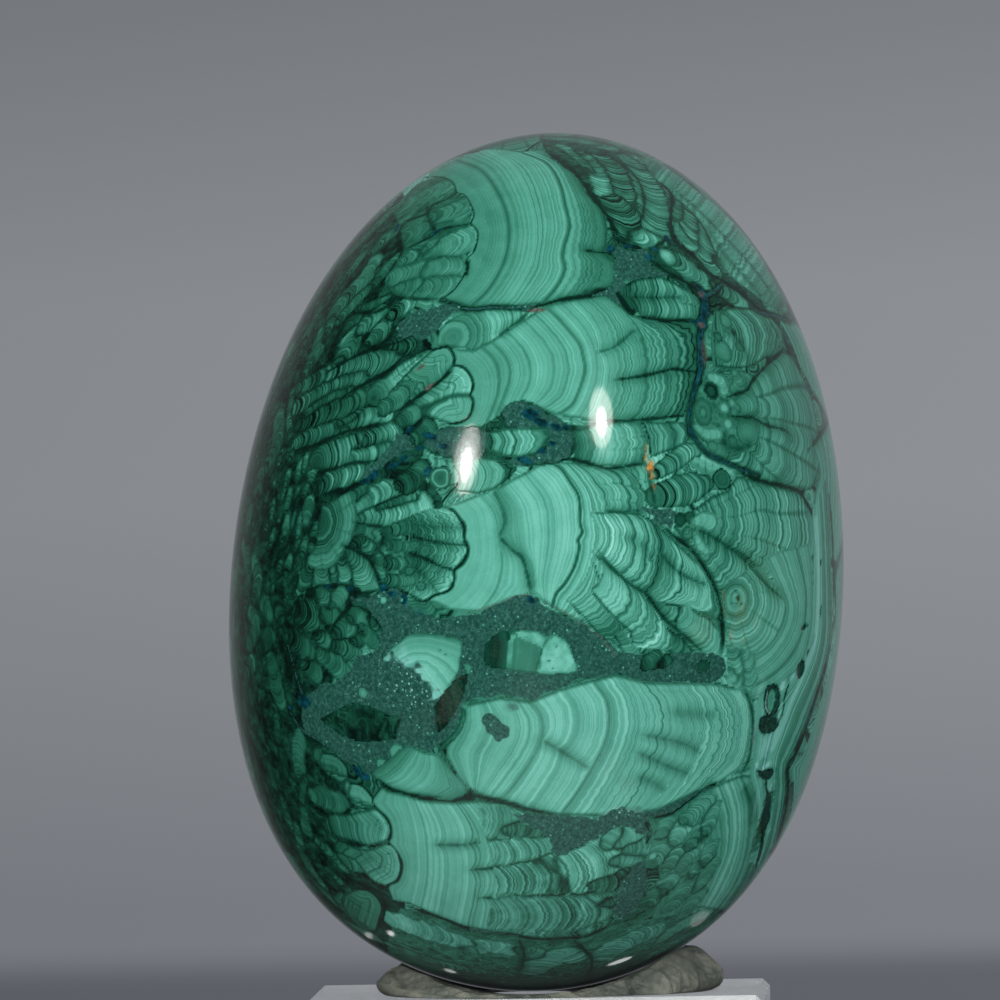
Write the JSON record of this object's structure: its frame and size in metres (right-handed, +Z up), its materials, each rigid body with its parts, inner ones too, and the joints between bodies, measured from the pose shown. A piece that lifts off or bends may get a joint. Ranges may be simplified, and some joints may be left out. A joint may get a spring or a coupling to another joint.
{
  "type": "decorative egg on stand",
  "caption": "Polished banded green stone egg held upright in a ring of mounting putty on a clear square display block; the egg lifts off its stand.",
  "frame": {"origin": "centre of the display block's underside", "axes": "+Z up from the block's underside, +X to the right and -Y towards the viewer, both along the block's sides"},
  "size_m": [0.068, 0.0676, 0.1204],
  "materials": {
    "clear_acrylic": "clear, flame-polished",
    "putty": "matt, hand-pressed",
    "banded_stone": "polished"
  },
  "bodies": {
    "stand": {"acrylic_block": "clear_acrylic", "mounting_putty": "putty"},
    "egg": {"stone_egg": "banded_stone"}
  },
  "joints": [
    {"name": "egg_lift", "type": "slide", "parent": "stand", "child": "egg", "axis": [0, 0, 1], "range_m": [0, 0.08]}
  ]
}
